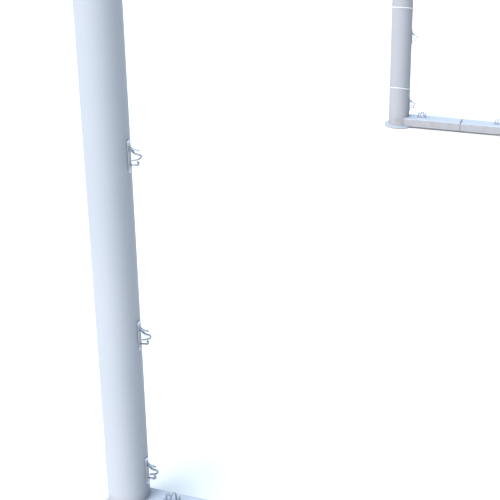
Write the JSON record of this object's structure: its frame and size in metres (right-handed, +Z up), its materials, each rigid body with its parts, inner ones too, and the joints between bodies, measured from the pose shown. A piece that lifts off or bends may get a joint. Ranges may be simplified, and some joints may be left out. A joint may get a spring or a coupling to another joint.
{
  "type": "tubular goal gate frame",
  "caption": "Free-standing white tubular gate frame with round posts on foot plates, a plug-in rear ground frame, bent net stays, net hooks and hinged anchor loops.",
  "frame": {"origin": "on the ground under the middle of the frame's overall box", "axes": "+X along the crossbar to the right as seen from the front, +Y to the rear, +Z up"},
  "size_m": [3.24, 1.11, 2.1],
  "materials": {
    "white_coat": "gloss powder coat, cool white",
    "zinc": "satin zinc plate",
    "bright_steel": "bright plated steel",
    "rubber": "matt black",
    "net_cord": "twisted white cord"
  },
  "bodies": {
    "front_frame": {"crossbar": "white_coat", "post_left": "white_coat", "corner_sleeve_left": "zinc", "foot_plate_left": "white_coat", "ground_stub_left": "white_coat", "ground_spigot_left": "zinc", "top_spigot_left": "zinc", "post_hook_left_1": "bright_steel", "post_hook_left_2": "bright_steel", "post_hook_left_3": "bright_steel", "post_hook_left_4": "bright_steel", "post_hook_left_5": "bright_steel", "stub_hook_left": "bright_steel", "post_right": "white_coat", "corner_sleeve_right": "zinc", "foot_plate_right": "white_coat", "ground_stub_right": "white_coat", "ground_spigot_right": "zinc", "top_spigot_right": "zinc", "post_hook_right_1": "bright_steel", "post_hook_right_2": "bright_steel", "post_hook_right_3": "bright_steel", "post_hook_right_4": "bright_steel", "post_hook_right_5": "bright_steel", "stub_hook_right": "bright_steel", "cross_hook_1": "bright_steel", "cross_hook_2": "bright_steel", "cross_hook_3": "bright_steel", "cross_hook_4": "bright_steel", "cross_hook_5": "bright_steel", "cord_tie_lower": "net_cord", "cord_tie_upper": "net_cord"},
    "rear_frame": {"rear_bar": "white_coat", "side_bar_left": "white_coat", "stay_left": "white_coat", "stay_socket_left": "zinc", "rear_pad_left": "rubber", "bar_screw_left": "bright_steel", "arm_screw_left": "bright_steel", "anchor_lug_left": "white_coat", "side_hook_left_1": "bright_steel", "side_hook_left_2": "bright_steel", "side_bar_right": "white_coat", "stay_right": "white_coat", "stay_socket_right": "zinc", "rear_pad_right": "rubber", "bar_screw_right": "bright_steel", "arm_screw_right": "bright_steel", "anchor_lug_right": "white_coat", "side_hook_right_1": "bright_steel", "side_hook_right_2": "bright_steel", "rear_hook_1": "bright_steel", "rear_hook_2": "bright_steel", "rear_hook_3": "bright_steel", "rear_hook_4": "bright_steel", "rear_hook_5": "bright_steel"},
    "left_anchor": {"anchor_loop_left": "bright_steel"},
    "right_anchor": {"anchor_loop_right": "bright_steel"}
  },
  "joints": [
    {"name": "rear_frame_slide", "type": "slide", "parent": "front_frame", "child": "rear_frame", "axis": [0, 1, 0], "range_m": [0, 0.15]},
    {"name": "left_anchor_hinge", "type": "hinge", "parent": "rear_frame", "child": "left_anchor", "pos_m": [-0.9, 0.544, 0.0566], "axis": [-1, 0, 0], "range_deg": [0, 200]},
    {"name": "right_anchor_hinge", "type": "hinge", "parent": "rear_frame", "child": "right_anchor", "pos_m": [0.9, 0.544, 0.0566], "axis": [-1, 0, 0], "range_deg": [0, 200]}
  ]
}
